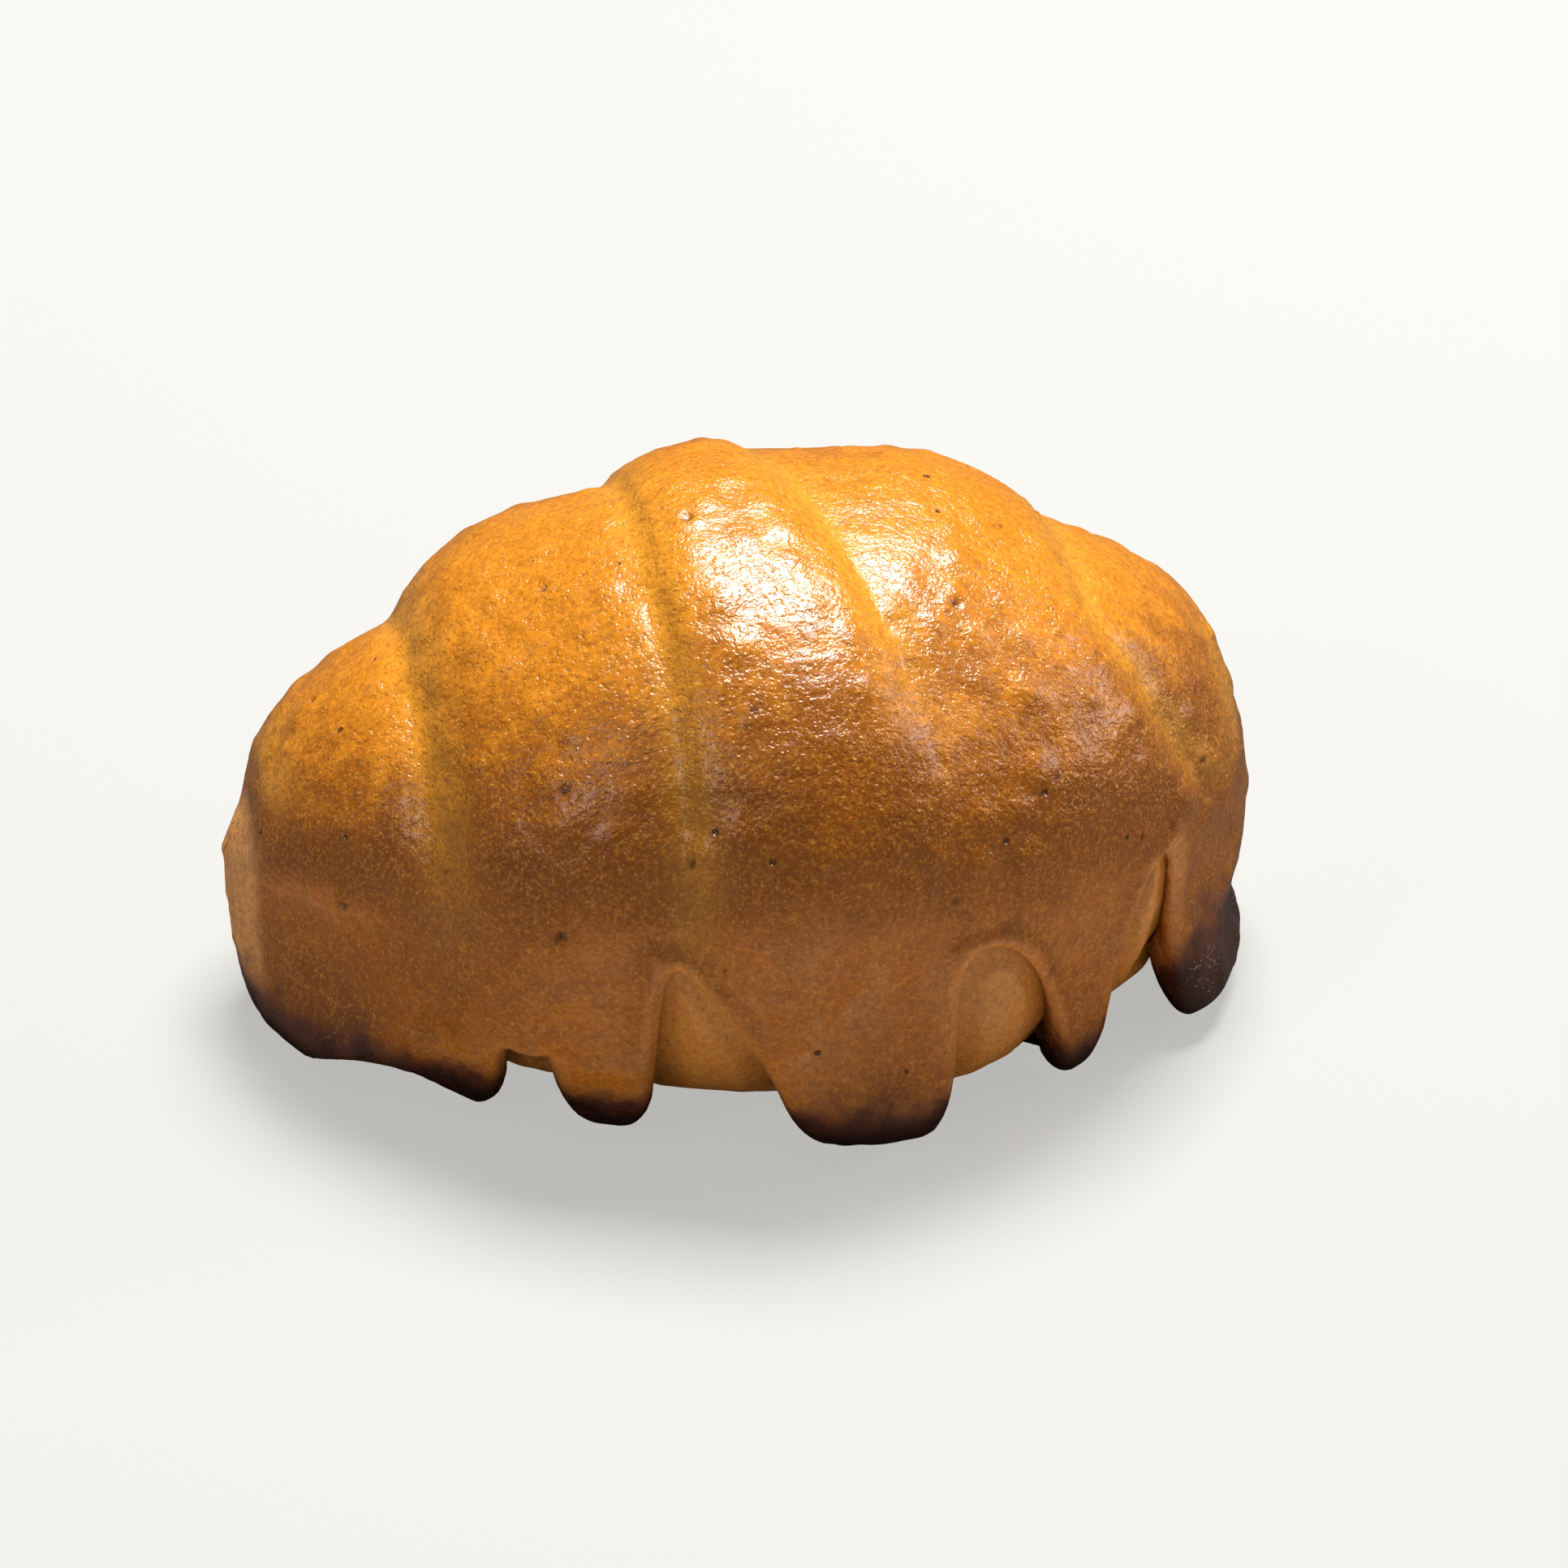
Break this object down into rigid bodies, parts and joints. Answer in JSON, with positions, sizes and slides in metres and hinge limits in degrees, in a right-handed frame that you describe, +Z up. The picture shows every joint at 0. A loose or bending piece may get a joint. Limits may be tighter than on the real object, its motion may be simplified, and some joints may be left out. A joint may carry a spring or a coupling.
{
  "type": "bread roll",
  "caption": "Crescent-bent butter roll of rolled dough with stepped bands, under a baked topping coat that runs down into thick drips.",
  "frame": {"origin": "middle of the outline on the plane the roll rests on", "axes": "+X along the roll towards the end with the wider bands, -Y towards the bulging front of the crescent, +Z up"},
  "size_m": [0.1148, 0.0802, 0.0636],
  "materials": {
    "dough_crust": "dry pale crust",
    "baked_coat": "golden brown, satin, finely grained"
  },
  "bodies": {
    "root": {"dough_roll": "dough_crust", "topping_coat": "baked_coat"}
  },
  "joints": []
}
